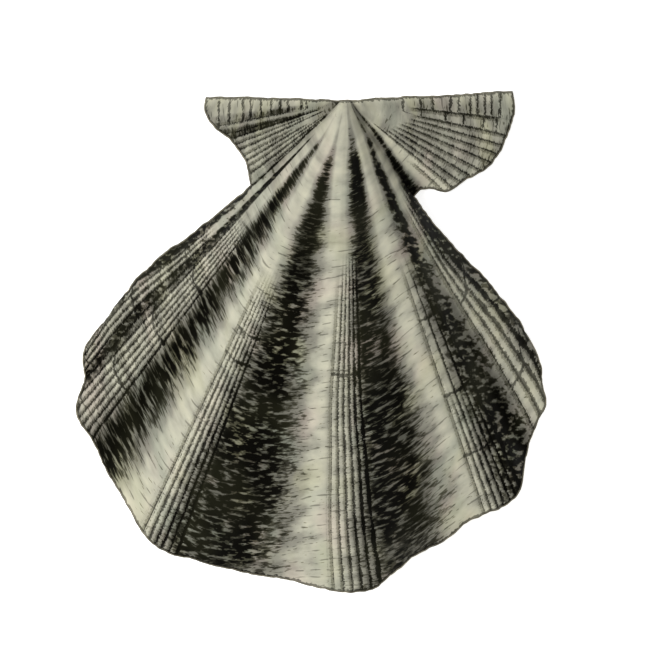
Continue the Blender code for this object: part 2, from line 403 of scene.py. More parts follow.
# %% [markdown]
# ## Raising the slab
# A grid is an easy thing to cut to shape while it is flat. The faces beyond the notches go, because only
# the disc grew on there, and what is left is extruded to a slab, whose upper side will be the outer face.

# %% Make the slab
slab = bmesh.new()
bmesh.ops.create_grid(slab, x_segments=columns, y_segments=BASE_ROWS, size=0.5)
bmesh.ops.translate(slab, vec=(0.5, 0.5, 0.0), verts=slab.verts)
bmesh.ops.scale(slab, vec=(columns, BASE_ROWS, 1.0), verts=slab.verts)
left_column, right_column = np.searchsorted(rays, (LEFT_EDGE, RIGHT_EDGE))
beyond_notches = []
for face in slab.faces:
    middle = face.calc_center_median()
    if middle.y > NOTCH_ROW and not left_column < middle.x < right_column:
        beyond_notches.append(face)
bmesh.ops.delete(slab, geom=beyond_notches, context="FACES")
raised = bmesh.ops.extrude_face_region(slab, geom=slab.faces[:], use_keep_orig=True)["geom"]
upper = [item for item in raised if isinstance(item, bmesh.types.BMVert)]
bmesh.ops.translate(slab, vec=(0.0, 0.0, 1.0), verts=upper)
print("the slab has", len(slab.faces), "faces")

# %% [markdown]
# ## Cutting it finer
# A ring of edges goes round the middle of the rim first, so that the rim can be rounded. Then the rows of
# the upper face are cut into four, and its columns in two, three times over and each time from farther out,
# where they have fanned apart. The inner face is smooth and stays coarse.

# %% Refine the upper face
FINER_FROM = (0.085, 0.17, 0.34)
ROW_CUTS = 3
HALF_WAY, FLUSH = 0.5, 0.1


def cut_finer(slab, across, from_row, cuts):
    """Cuts the edges of the upper face and its rim that run across the rows, or along them."""
    chosen = []
    for edge in slab.edges:
        start, end = edge.verts[0].co, edge.verts[1].co
        upper = min(start.z, end.z) > HALF_WAY - FLUSH and abs(start.z - end.z) < FLUSH
        runs_across = abs(start.x - end.x) > abs(start.y - end.y)
        if upper and runs_across == across and min(start.y, end.y) > from_row - FLUSH:
            chosen.append(edge)
    bmesh.ops.subdivide_edges(slab, edges=chosen, cuts=cuts, use_grid_fill=True, use_single_edge=True)


rim_edges = [edge for edge in slab.edges if abs(edge.verts[0].co.z - edge.verts[1].co.z) > HALF_WAY]
bmesh.ops.subdivide_edges(slab, edges=rim_edges, cuts=1)
cut_finer(slab, False, 0.0, ROW_CUTS)
for growth_from in FINER_FROM:
    row = np.ceil(np.interp(growth_from, growths, np.arange(BASE_ROWS + 1)))
    cut_finer(slab, True, row, 1)
print("the slab now has", len(slab.faces), "faces")

# %% [markdown]
# ## Reading the slab
# Each vertex of the slab says where it will be on the shell: its x gives the ray, its y the growth, and its
# z the side. From here on these three arrays stand for the whole mesh.

# %% Ray, growth and side of every vertex
slab.verts.ensure_lookup_table()
stations = np.array([vert.co for vert in slab.verts])
ray = np.interp(stations[:, 0], np.arange(columns + 1), rays)
growth = np.interp(stations[:, 1], np.arange(BASE_ROWS + 1), growths)
side = stations[:, 2]
outer_face = side > HALF_WAY + FLUSH
print(len(ray), "vertices,", int(outer_face.sum()), "on the outer face")

# %% [markdown]
# ## Fine relief
# The grooves are cut down into the outer face, with round riblets between them. Growth rests, where the
# animal stopped growing for a season, cross a rib as a low step. Faint growth ridges run everywhere
# between.

# %% Heights of the fine relief
GROOVE_DEPTH = 0.42 * MM
EAR_GROOVE_DEPTH = 0.30 * MM
RIBLET_ROUNDNESS = 0.7
NEAR_GROOVE = (0.5, 1.1)
REST_STEP = 0.28 * MM
REST_LENGTH, REST_FADE, REST_SIDE = 0.012, 6.0, 1.0
RIDGE_HEIGHT = 0.10 * MM
RIDGE_PATTERN = (90.0, 90.0, 150.0)


def ribbing(ray, growth):
    """Depth of the grooves and the rounding of the riblets between them."""
    phase = groove_phase(ray)
    hollow = 1.0 - np.abs(np.sin(np.pi * phase)) ** RIBLET_ROUNDNESS
    distance = groove_pitch(ray, growth) * np.abs(phase - np.round(phase))
    near = 1.0 - smooth_step(distance, *NEAR_GROOVE)
    depth = np.where(on_disc(ray), GROOVE_DEPTH * growth, EAR_GROOVE_DEPTH)
    return -depth * hollow * near * groove_cut(ray, growth)


def rests(ray, growth):
    """Low steps down where growth rested, which fade out as the shell grows on."""
    height = np.zeros_like(growth)
    for first_ray, last_ray, places in RESTS:
        inside = smooth_step(ray, first_ray - REST_SIDE, first_ray)
        inside *= 1.0 - smooth_step(ray, last_ray, last_ray + REST_SIDE)
        for place in places:
            since = np.clip((growth - place) / REST_LENGTH, 0.0, None)
            height -= REST_STEP * inside * smooth_step(since, 0.0, 1.0) * np.exp(-since / REST_FADE)
    return height * on_disc(ray)


def growth_ridges(points, growth):
    """Uneven low ridges along the lines of growth."""
    spots = np.column_stack((points[:, :2], growth)) * RIDGE_PATTERN
    return RIDGE_HEIGHT * np.array([noise.noise(Vector(spot)) for spot in spots])


bare = shell_points(ray, growth, side)
places = bare.copy()
places[outer_face, 2] += ribbing(ray[outer_face], growth[outer_face])
places[outer_face, 2] += rests(ray[outer_face], growth[outer_face])
places[outer_face, 2] += growth_ridges(places[outer_face], growth[outer_face])
print("the relief is cut up to", round(float((bare - places)[:, 2].max()) / MM, 2), "mm deep")

# %% [markdown]
# ## Into place
# The bare shell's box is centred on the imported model's box, so the piece stands exactly where the solid
# does. Its rim will be rounded outwards later, by the length of its nose, so in plan it is first made that
# much smaller.

# %% Bend the slab
NOSE = 0.28 * MM
bare_low, bare_high = bare.min(axis=0), bare.max(axis=0)
cad_middle = (np.array(valve_low) + np.array(valve_high)) / 2
shift = cad_middle - (bare_low + bare_high) / 2
shift[2] = valve_low.z - bare_low[2]
places += shift
rim_room = 1.0 - 2.0 * NOSE / (bare_high - bare_low)[:2]
places[:, :2] = cad_middle[:2] + (places[:, :2] - cad_middle[:2]) * rim_room
for vert, place in zip(slab.verts, places):
    vert.co = place
bmesh.ops.recalc_face_normals(slab, faces=slab.faces)
beak = shift[:2]
print("the beak is at", np.round(beak / MM, 2), "mm")

# %% [markdown]
# ## The worn edge
# The edge of a fossil is chipped and a little uneven, and it isn't square: growth left it rounded. A k-d
# tree of the outline's own vertices tells every vertex how far the edge is. Close to it the points are
# pushed about by noise, the same above and below, and the ring in the middle of the rim is pushed outwards.

# %% Distance from the outline, and the wear there
WEAR = ((3.2 * MM, 0.28 * MM), (1.2 * MM, 0.20 * MM))
WEAR_REACH = 2.2
WEAR_LAYERS = (3.7, 53.7)

outline = kdtree.KDTree(len(places))
middle_of_rim = np.abs(side - HALF_WAY) < FLUSH
for index in np.flatnonzero(middle_of_rim):
    x, y, _ = places[index]
    outline.insert((x, y, 0.0), int(index))
outline.balance()
edge_distance = np.array([outline.find((x, y, 0.0))[2] for x, y, _ in places]) / MM
print("the middle of the shell is", round(float(edge_distance.max()), 1), "mm from its edge")


def worn(points):
    """How far each point is pushed in plan by the wear. Each way has its own layer of the noise, because
    Blender's noise_vector gives other values each time that Blender starts."""
    push = np.zeros((len(points), 2))
    for size, amount in WEAR:
        for way, layer in enumerate(WEAR_LAYERS):
            spots = [Vector((x / size, y / size, layer)) for x, y, _ in points]
            push[:, way] += amount * np.array([noise.noise(spot) for spot in spots])
    return push


places[:, :2] += worn(places) * (1.0 - smooth_step(edge_distance, 0.0, WEAR_REACH))[:, None]
for vert, place in zip(slab.verts, places):
    vert.co = place
slab.normal_update()
for vert in slab.verts:
    if middle_of_rim[vert.index]:
        vert.co += NOSE * Vector((vert.normal.x, vert.normal.y, 0.0))

# %% [markdown]
# ## The stain and the painted shade
# Minerals have stained the furrows between the ribs, and shade is painted in with the stain: the sides of
# the folds that face away from the light are painted nearly black, and the crests and the sides that face
# the light are left pale. A furrow is written as stations along it, as a ship's hull is. Each station holds
# its distance from the beak in mm, four rays where the stain and painted shade start, are full, begin to
# fade and end, and how deep they are.

# %% How dark the stain and the painted shade are
HINGE_BAND_FURROW = (
    (6, -86, -82, -79, -76, 0.0), (11, -86, -82, -79, -76, 0.8), (20, -85.5, -82.5, -80, -77, 0.66),
    (30, -85, -82.5, -80, -77, 0.45),
)
EAR_FURROW = (
    (3, -77, -74, -71, -68, 0.5), (6, -76, -73.5, -71, -69, 0.85), (12, -77, -73.6, -71, -69, 0.9),
    (25, -80, -76, -72.4, -70.2, 0.8),
)
LEFT_BORDER = (
    (3, -60, -57, -55, -53, 1.0), (6.5, -54.5, -52.6, -51.6, -50, 1.0),
    (13, -49.6, -48.6, -48, -47.2, 0.95), (27, -49, -48.2, -47.4, -46.6, 0.9),
    (32, -50, -49, -47, -45.6, 1.3), (52, -50, -49, -47.1, -46, 1.35), (62, -50, -48, -47, -46, 0.6),
    (74, -50, -48, -47, -46, 0.45),
)
LEFT_VALLEY = (
    (8, -44.4, -43.5, -42.9, -42, 0.0), (13, -44.4, -43.4, -42.8, -42, 0.9),
    (18, -44.6, -43.6, -42.6, -41.8, 1.2), (29, -45, -43.9, -42.8, -41.8, 1.4),
    (36, -44.9, -43.9, -42.8, -41.2, 1.1), (44, -45, -43.9, -42.7, -41, 1.0),
    (52, -45, -44, -42.8, -41, 0.82), (95, -45, -43.9, -42.8, -41.2, 0.86),
)
LEFT_FURROW = (
    (5, -36, -32.5, -31, -28, 0.2), (9, -36.5, -32.6, -31, -28, 0.5), (16, -38.5, -34.8, -33, -27, 0.92),
    (26, -40.5, -35.4, -34.6, -25.8, 1.08), (40, -40.2, -34.6, -33.6, -25.8, 1.12),
    (60, -39.8, -34, -33.6, -26.4, 1.16), (92, -40.8, -35.2, -33.6, -27.2, 1.12),
)
WIDE_FURROW = (
    (5, -18, -14.5, -13, -9, 0.2), (9, -19, -15.5, -13, -9, 0.5), (16, -23.5, -16.6, -14.2, -7, 0.95),
    (26, -24.6, -16.8, -14, -4.2, 1.1), (46, -24.9, -16.8, -13.8, -3.8, 1.12),
    (60, -24.8, -17.2, -13.2, -3.2, 1.16), (84, -25.2, -18.2, -12.2, -3.2, 1.24),
    (96, -25.6, -19.4, -12.6, -3.4, 1.18), (103, -26, -20, -13.4, -3, 0.9),
)
MIDDLE_FURROW = (
    (5, -1, 6, 11, 18, 0.3), (9, 0, 6, 11, 19, 0.66), (13, -2.5, 6, 11, 16.5, 0.95),
    (18, -3, 5.8, 9.6, 15.6, 1.08), (30, -2, 5.2, 7.6, 15.4, 1.06), (46, -0.8, 5.2, 7.6, 15.6, 1.06),
    (72, -0.2, 5.2, 9.8, 17.8, 1.08), (88, -1, 5, 9.8, 18.6, 1.06), (100, -3, 4.8, 8, 20, 0.8),
)
RIGHT_FURROW = (
    (5, 27, 32, 34, 39, 0.6), (9, 22.5, 29, 31.5, 37, 0.75), (13, 21, 26, 28, 32.5, 0.9),
    (16, 20, 24.4, 26.4, 31, 1.0), (26, 18, 24, 25.4, 28.5, 1.1), (46, 18.2, 23.6, 25.4, 29, 1.08),
    (60, 18.4, 24.2, 26, 30.6, 1.08), (83, 17.8, 25, 26.6, 30.6, 1.1),
)
# Painted shade and painted shadow: the right side of the last fold, which faces away from the light, and
# the foot of the disc where it shades the right ear.
RIGHT_BORDER = (
    (3, 43, 45, 46.4, 48, 0.8), (9, 37.5, 41.6, 43.6, 48, 0.85), (16, 34, 37.4, 39.4, 43.5, 0.98),
    (22, 30, 35.4, 37.6, 43.5, 1.06), (32, 28, 33, 38, 45.5, 1.08), (38, 28.4, 33.4, 38, 45, 1.02),
    (46, 31, 35.4, 38, 45, 0.8), (75, 30.6, 35, 38, 45, 0.84),
)
FURROWS = (
    HINGE_BAND_FURROW, EAR_FURROW, LEFT_BORDER, LEFT_VALLEY, LEFT_FURROW, WIDE_FURROW, MIDDLE_FURROW,
    RIGHT_FURROW, RIGHT_BORDER,
)
print(len(FURROWS), "furrows")

# %% [markdown]
# ## The stain and painted shade between the furrows
# Even the pale parts are a little stained and painted with shade, more on one ray than on the next, and
# close to the beak a second row of stations takes over. The stain and painted shade at any place is this
# ground or the deepest furrow there, whichever is darker. Two more values say where it lies in blots and
# where the riblets' bands of painted shade are toothed.

# %% Read the stain and painted shade, the blots and the teeth
GROUND = (
    (LEFT_HINGE, 0.10), (-87.0, 0.22), (-82.0, 0.36), (-76.0, 0.48), (-66.0, 0.38), (-54.0, 0.30),
    (-50.0, 0.37), (-46.0, 0.38), (-38.0, 0.33), (-30.0, 0.30), (-27.0, 0.24), (-24.0, 0.18), (-20.0, 0.26),
    (-6.0, 0.26), (-3.0, 0.20), (2.0, 0.28), (13.0, 0.26), (16.0, 0.18), (21.0, 0.25), (29.0, 0.15),
    (37.0, 0.30), (45.0, 0.04), (49.0, 0.10), (53.0, 0.44), (84.0, 0.46), (88.0, 0.42), (RIGHT_HINGE, 0.28),
)
BEAK_GROUND = (
    (LEFT_HINGE, 0.3), (-56.0, 0.66), (-46.0, 0.24), (20.0, 0.20), (40.0, 0.4), (50.0, 0.2), (60.0, 0.08),
)
DISC_LEAVES_BEAK, EAR_LEAVES_BEAK = (6.0, 26.0), (4.0, 10.0)
BLOTS_RIGHT, BLOTS_LEFT = (19.0, 23.0), (41.5, 43.5)
TEETH_RIGHT, TEETH_LEFT = (16.0, 26.0), (30.0, 36.0)
TEETH_IN_MIDDLE, MORE_RIGHT, MORE_LEFT, TEETH_ON_EARS = 0.2, 0.2, 0.6, 0.5


def stain_and_painted_shade(ray, growth):
    """How dark the shell is stained and painted with shade, from 0 to 1 and a little beyond."""
    radius = reach(ray) * growth / MM
    away = np.where(
        on_disc(ray), smooth_step(radius, *DISC_LEAVES_BEAK), smooth_step(radius, *EAR_LEAVES_BEAK))
    dark = curve_through(GROUND, ray) * away + curve_through(BEAK_GROUND, ray) * (1.0 - away)
    for furrow in FURROWS:
        places_along, *edges, depths = np.array(furrow, float).T
        start, full, fades, end = (np.interp(radius, places_along, edge) for edge in edges)
        rising = np.clip((ray - start) / (full - start), 0.0, 1.0)
        falling = np.clip((end - ray) / (end - fades), 0.0, 1.0)
        dark = np.maximum(dark, np.interp(radius, places_along, depths) * (rising * falling))
    return dark


# shade holds the stain in the furrows and the painted shade on the sides of the folds that face away from
# the light.
shade = stain_and_painted_shade(ray, growth)
coarseness = smooth_step(ray, *BLOTS_RIGHT) + smooth_step(-ray, *BLOTS_LEFT)
coarseness = np.where(on_disc(ray), coarseness, 0.0)
toothed = TEETH_IN_MIDDLE + MORE_LEFT * smooth_step(-ray, *TEETH_LEFT)
toothed += MORE_RIGHT * smooth_step(ray, *TEETH_RIGHT)
toothed = np.where(on_disc(ray), toothed, TEETH_ON_EARS)
print("a share of", round(float((shade > 0.5).mean()), 2), "of the vertices is stained dark")

# %% [markdown]
# ## Writing the values on the mesh
# The materials read named attributes for the stain and painted shade, the grooves and the edge, and a UV
# map
# that is flat in millimetres: across the rays and along the growth. The lines of growth don't run quite as
# the chipped margin does. So the map's second value is measured against one such line, whose reach is
# written down for a few rays, and patterns laid on the map follow the growth.

# %% The mesh and its attributes
LINE_REACH = (
    (LEFT_HINGE, 84.0), (LEFT_EDGE, 87.0), (-40.5, 91.0), (-32.5, 97.5), (-24.5, 105.0), (-19.0, 105.5),
    (-3.0, 100.5), (4.0, 98.5), (17.0, 89.8), (24.0, 87.0), (RIGHT_EDGE, 81.0), (RIGHT_HINGE, 79.0),
)
vertex_values = {
    "stain_and_painted_shade": shade, "coarseness": coarseness, "toothed": toothed, "edge_distance": edge_distance,
    "side": side, "groove_phase": groove_phase(ray), "groove_pitch": groove_pitch(ray, growth),
    "groove_width": groove_width(ray, growth),
}
vertex_values.update(zip(("crack_phase", "crack_pitch", "crack_width"), cracks(ray, growth)))
face_sides = np.array([np.mean([side[vert.index] for vert in face.verts]) for face in slab.faces])
mesh = bpy.data.meshes.new("fossil_valve")
slab.to_mesh(mesh)
slab.free()
for name, values in vertex_values.items():
    attribute = mesh.attributes.new(name, "FLOAT", "POINT")
    attribute.data.foreach_set("value", np.asarray(values, np.float32))
corner_vertices = np.zeros(len(mesh.loops), np.int32)
mesh.loops.foreach_get("vertex_index", corner_vertices)
across = np.radians(ray) * reach(ray) * growth
along = growth * reach(ray) / (curve_through(LINE_REACH, ray) * MM) * middle_reach
along += (1.0 - side) * EAR_THICKNESS
growth_map = np.column_stack((across, along))[corner_vertices]
mesh.uv_layers.new(name="growth_map").data.foreach_set("uv", growth_map.astype(np.float32).ravel())
mesh.shade_smooth()
valve = bpy.data.objects.new("fossil_valve", mesh)
bpy.context.scene.collection.objects.link(valve)
print("the mesh has", sum(len(face.vertices) - 2 for face in mesh.polygons), "triangles")

# %% [markdown]
# ## Helpers for the materials
# Nodes are made by one short function each, so that a material reads from top to bottom like a recipe. A
# colour is picked as a screen shows it, and turned into the linear values that a shader works in.

# %% Node helpers
def add_node(tree, kind, inputs=(), **settings):
    """A node with its settings made and its inputs set or linked."""
    node = tree.nodes.new(kind)
    for name, value in settings.items():
        setattr(node, name, value)
    for socket, value in dict(inputs).items():
        if isinstance(value, bpy.types.NodeSocket):
            tree.links.new(value, node.inputs[socket])
        else:
            node.inputs[socket].default_value = value
    return node


def calculate(tree, operation, *values):
    return add_node(tree, "ShaderNodeMath", enumerate(values), operation=operation).outputs[0]


def multiply(tree, product, *values):
    """The product of two values or more."""
    for value in values:
        product = calculate(tree, "MULTIPLY", product, value)
    return product


def one_less(tree, value):
    return calculate(tree, "SUBTRACT", 1.0, value)


def swing(tree, value, amount):
    """Noise lies around a half, and this makes of it a push either way."""
    return multiply(tree, calculate(tree, "SUBTRACT", value, 0.5), amount)


def map_range(tree, value, low, high, to_low=0.0, to_high=1.0):
    """A smooth rise from to_low at low to to_high at high."""
    inputs = {"Value": value, "From Min": low, "From Max": high, "To Min": to_low, "To Max": to_high}
    return add_node(tree, "ShaderNodeMapRange", inputs, interpolation_type="SMOOTHSTEP").outputs["Result"]


def blend_colour(tree, factor, low, high, blend_type="MIX"):
    inputs = {0: factor, 6: low, 7: high}
    return add_node(tree, "ShaderNodeMix", inputs, data_type="RGBA", blend_type=blend_type).outputs[2]


def from_srgb(*channels):
    """A colour picked as 0 to 255 on a screen, in the linear values that a shader uses."""
    values = np.array(channels) / 255.0
    return (*np.where(values > 0.04045, ((values + 0.055) / 1.055) ** 2.4, values / 12.92), 1.0)


print("a grey of 128 is", round(float(from_srgb(128)[0]), 3), "to a shader")

# %% [markdown]
# ## Places and noise
# Patterns are laid out in millimetres. On the growth map they follow the lines of growth, and on the
# object's own coordinates they don't. Nearly every mark on the shell is longer one way than the other, so
# one helper stretches the noise.

# %% Places and stretched noise
def in_millimetres(tree, place):
    inputs = {0: place, "Scale": 1.0 / MM}
    return add_node(tree, "ShaderNodeVectorMath", inputs, operation="SCALE").outputs[0]


def growth_place(tree):
    return in_millimetres(tree, add_node(tree, "ShaderNodeUVMap", uv_map="growth_map").outputs["UV"])


def object_place(tree):
    return in_millimetres(tree, add_node(tree, "ShaderNodeTexCoord").outputs["Object"])


def stretched_noise(tree, place, length, width, seed, detail=1.0):
    """Noise whose patches are about length by width, in mm."""
    parts = add_node(tree, "ShaderNodeSeparateXYZ", {0: place}).outputs
    x = calculate(tree, "DIVIDE", parts[0], length)
    y = calculate(tree, "DIVIDE", parts[1], width)
    spot = add_node(tree, "ShaderNodeCombineXYZ", {0: x, 1: y, 2: seed}).outputs[0]
    inputs = {"Vector": spot, "Scale": 1.0, "Detail": detail, "Roughness": 0.5}
    return add_node(tree, "ShaderNodeTexNoise", inputs).outputs["Fac"]


print("the growth map and the object's coordinates are both read in units of", MM, "m")

# %% [markdown]
# ## Strokes of stain and painted shade
# The stain and the painted shade lie in short dark flecks along the lines of growth. They are few and thin
# on the flanks and run together in the furrows, with pale islands left between them. Adding noise to the
# stain and painted shade and cutting the sum at one level does all three: the darker it is, the more of the
# noise is above the level. A second, lower level gives each fleck a half-dark border. An effect that
# returns is a node group, built once and placed wherever it is needed. Inside a group every noise has a
# seed of its own, which is the group's seed and a step.

# %% The fleck group
FLOAT, VECTOR, COLOUR = "NodeSocketFloat", "NodeSocketVector", "NodeSocketColor"
INK_LEVEL, HALF_LEVEL = (0.50, 0.56), (0.35, 0.41)
FLECK_DETAIL = 2.2


def new_group(name, inputs, outputs):
    """An empty node group with its sockets, and the two nodes that stand for them."""
    group = bpy.data.node_groups.new(name, "ShaderNodeTree")
    for label, kind in inputs:
        group.interface.new_socket(label, in_out="INPUT", socket_type=kind)
    for label, kind in outputs:
        group.interface.new_socket(label, in_out="OUTPUT", socket_type=kind)
    return group, group.nodes.new("NodeGroupInput").outputs, group.nodes.new("NodeGroupOutput").inputs


def group_noise(group, given, length, width, step, detail=1.0):
    """Noise inside a group, on the place it is given."""
    seed = calculate(group, "ADD", given["Seed"], step)
    return stretched_noise(group, given["Place"], length, width, seed, detail)


flecks, given, gives = new_group(
    "stain_and_shade_flecks",
    (("Place", VECTOR), ("Shade", FLOAT), ("Length", FLOAT), ("Width", FLOAT), ("Contrast", FLOAT),
     ("Seed", FLOAT)),
    (("Ink", FLOAT), ("Half", FLOAT)),
)
pattern = group_noise(flecks, given, given["Length"], given["Width"], 0.0, FLECK_DETAIL)
total = calculate(flecks, "ADD", given["Shade"], swing(flecks, pattern, given["Contrast"]))
flecks.links.new(map_range(flecks, total, *INK_LEVEL), gives["Ink"])
flecks.links.new(map_range(flecks, total, *HALF_LEVEL), gives["Half"])
print("made the group", flecks.name)

# %% [markdown]
# ## Dark lines in the grooves, and painted shade beside them
# The phase is whole in the middle of each groove. The distance from there, in millimetres, is compared with
# the groove's half width, and a little noise on that distance makes the sides of the line ragged. Each line
# swells and thins as it runs. The side of each riblet that falls away from the light carries a half-dark
# band of painted shade, with teeth that follow the lines of growth. The dark teeth inside this painted
# shade are also given alone, as a comb.

# %% The ruled line group
RAGGED_SIZE, SWELLING_SIZE, TEETH_SIZE, COMB_SIZE = (0.4, 0.4), (1.6, 4.0), (1.0, 0.36), (1.6, 0.26)
SWELLING_STEP, TEETH_STEP, COMB_STEP = 3.0, 5.0, 6.0
MOST_NOISE, LEAST_AND_MOST = (0.30, 0.70), (0.6, 1.4)
BAND_SHARE, WIDEST_BAND, TOOTH_LENGTH = 0.42, 0.70, 0.9
LINE_SOFTNESS, BAND_SOFTNESS = (-0.06, 0.06), (-0.08, 0.08)
LINE_SEEN = (0.02, 0.09)
COMB_LEVEL = (0.50, 0.56)


def distance_to_whole(tree, phase, pitch):
    """How far the phase is past its last whole number, and the distance in mm to the nearest one."""
    part = calculate(tree, "FRACT", phase)
    off_middle = calculate(tree, "ABSOLUTE", calculate(tree, "SUBTRACT", part, 0.5))
    return part, multiply(tree, calculate(tree, "SUBTRACT", 0.5, off_middle), pitch)


lines, given, gives = new_group(
    "ruled_lines",
    (("Phase", FLOAT), ("Pitch", FLOAT), ("Half Width", FLOAT), ("Place", VECTOR), ("Raggedness", FLOAT),
     ("Seed", FLOAT)),
    (("Ink", FLOAT), ("Half", FLOAT), ("Comb", FLOAT)),
)
part, distance = distance_to_whole(lines, given["Phase"], given["Pitch"])
ragged = swing(lines, group_noise(lines, given, *RAGGED_SIZE, 0.0), given["Raggedness"])
distance = calculate(lines, "ADD", distance, ragged)
swelling = group_noise(lines, given, *SWELLING_SIZE, SWELLING_STEP)
swelling = map_range(lines, swelling, *MOST_NOISE, *LEAST_AND_MOST)
inside = calculate(lines, "SUBTRACT", multiply(lines, given["Half Width"], swelling), distance)
present = map_range(lines, given["Half Width"], *LINE_SEEN)
lines.links.new(multiply(lines, map_range(lines, inside, *LINE_SOFTNESS), present), gives["Ink"])
before = multiply(lines, one_less(lines, part), given["Pitch"])
band = calculate(lines, "MINIMUM", multiply(lines, given["Pitch"], BAND_SHARE), WIDEST_BAND)
teeth = swing(lines, group_noise(lines, given, *TEETH_SIZE, TEETH_STEP), TOOTH_LENGTH)
inside = calculate(lines, "SUBTRACT", calculate(lines, "ADD", band, teeth), before)
half = multiply(lines, map_range(lines, inside, *BAND_SOFTNESS), present)
lines.links.new(half, gives["Half"])
comb = map_range(lines, group_noise(lines, given, *COMB_SIZE, COMB_STEP), *COMB_LEVEL)
lines.links.new(multiply(lines, half, comb), gives["Comb"])
print("made the group", lines.name)

# %% [markdown]
# ## Thin growth lines
# On the pale flanks the growth lines show as thin broken lines, a few millimetres apart. The along value of
# the map is bent by broad noise and cut into steps, and a second noise lets each line show only here and
# there.

# %% The growth line group
BEND_SIZE, BEND_DETAIL, BEND = (20.0, 6.0), 3.0, 2.2
SHOWN_SIZE, SHOWN_STEP = (2.4, 1.5), 7.0
SHOWN_SOFTNESS, THIN_SOFTNESS = (-0.05, 0.10), (-0.05, 0.05)
growth_lines, given, gives = new_group(
    "growth_lines",
    (("Place", VECTOR), ("Spacing", FLOAT), ("Half Width", FLOAT), ("Share", FLOAT), ("Seed", FLOAT)),
    (("Ink", FLOAT),),
)
along_growth = add_node(growth_lines, "ShaderNodeSeparateXYZ", {0: given["Place"]}).outputs[1]
bend = multiply(growth_lines, group_noise(growth_lines, given, *BEND_SIZE, 0.0, BEND_DETAIL), BEND)
phase = calculate(growth_lines, "DIVIDE", along_growth, given["Spacing"])
phase = calculate(growth_lines, "ADD", phase, bend)
_, distance = distance_to_whole(growth_lines, phase, given["Spacing"])
hidden = one_less(growth_lines, group_noise(growth_lines, given, *SHOWN_SIZE, SHOWN_STEP))
fading = calculate(growth_lines, "SUBTRACT", given["Share"], hidden)
fading = map_range(growth_lines, fading, *SHOWN_SOFTNESS)
width = multiply(growth_lines, given["Half Width"], fading)
inside = calculate(growth_lines, "SUBTRACT", width, distance)
line = map_range(growth_lines, inside, *THIN_SOFTNESS)
growth_lines.links.new(multiply(growth_lines, line, fading), gives["Ink"])
print("made the group", growth_lines.name)

# %% [markdown]
# ## Old stone
# A fossil is never one colour. Broad soft patches of pink, olive and grey-green lie over the pale parts,
# and a fine grain breaks up every surface.

# %% The mottle group
TINTS = (from_srgb(208, 188, 176), from_srgb(204, 202, 160), from_srgb(158, 166, 148))
TINT_SIZE, TINT_DETAIL, TINT_LEVEL, TINT_STEP = (9.0, 13.0), 2.0, (0.50, 0.72), 11.0
GRAIN_SIZE, GRAIN_DETAIL = (0.7, 0.45), 3.0
mottle, given, gives = new_group(
    "mottled_stone",
    (("Place", VECTOR), ("Colour", COLOUR), ("Amount", FLOAT), ("Seed", FLOAT)),
    (("Colour", COLOUR), ("Grain", FLOAT)),
)
colour = given["Colour"]
for step, tint in enumerate(TINTS):
    patch = group_noise(mottle, given, *TINT_SIZE, TINT_STEP * step, TINT_DETAIL)
    patch = map_range(mottle, patch, *TINT_LEVEL)
    colour = blend_colour(mottle, multiply(mottle, patch, given["Amount"]), colour, tint)
mottle.links.new(colour, gives["Colour"])
mottle.links.new(group_noise(mottle, given, *GRAIN_SIZE, 0.0, GRAIN_DETAIL), gives["Grain"])
print("made the group", mottle.name)

# %% [markdown]
# ## The outer face: the wash
# The outer face is built up as a draughtsman would, from the wash to the ink. The wash goes from cream to
# dark grey with the stain and the painted shade. Broad noise on them first leaves no border even, and the
# tints of old stone lie over it.

# %% The wash
CREAM, DARK_GREY = from_srgb(202, 199, 177), from_srgb(110, 109, 98)
PALE_GREY, MID_GREY = from_srgb(178, 176, 158), from_srgb(143, 141, 128)
DULL_GREY = from_srgb(123, 121, 110)
WASH = ((0.24, PALE_GREY), (0.44, MID_GREY), (0.66, DULL_GREY))
PATCH_NOISE, PATCH_SWING = (5.0, 3.0, 40.0, 3.0), 0.9


def place_group(tree, group, **inputs):
    """Places a node group and sets its inputs by name, with _ for a space."""
    named = {label.replace("_", " "): value for label, value in inputs.items()}
    return add_node(tree, "ShaderNodeGroup", named, node_tree=group).outputs


def read_attribute(tree, name):
    return add_node(tree, "ShaderNodeAttribute", attribute_name=name).outputs["Fac"]


def new_material(name, roughness, gloss):
    """A material on Blender's standard shader."""
    material = bpy.data.materials.new(name)
    material.use_nodes = True
    shader = material.node_tree.nodes["Principled BSDF"]
    shader.inputs["Roughness"].default_value = roughness
    shader.inputs["Specular IOR Level"].default_value = gloss
    return material


outer_material = new_material("fossil_outer_face", roughness=0.85, gloss=0.08)
tree = outer_material.node_tree
place, spot = growth_place(tree), object_place(tree)
patchy = swing(tree, stretched_noise(tree, place, *PATCH_NOISE), PATCH_SWING)
# The stain and painted shade here, with broad noise on it.
shade_here = calculate(tree, "ADD", read_attribute(tree, "stain_and_painted_shade"), patchy)
wash = add_node(tree, "ShaderNodeValToRGB", {"Fac": shade_here})
stops = wash.color_ramp.elements
stops[0].color, stops[1].color = CREAM, DARK_GREY
for position, colour in WASH:
    stops.new(position).color = colour
stone = place_group(tree, mottle, Place=place, Colour=wash.outputs["Color"], Amount=0.28, Seed=2.0)
print("the wash has", len(stops), "stops")

# %% [markdown]
# ## The outer face: its flecks
# The stain and the painted shade lie in flecks. Strokes are long in the depth of the wide furrows, and
# short and thin, like teeth, along their sides and near the beak. On the right side and in the left valley
# they are blots instead, which don't follow the growth. Small ticks lie everywhere, even on the crests.

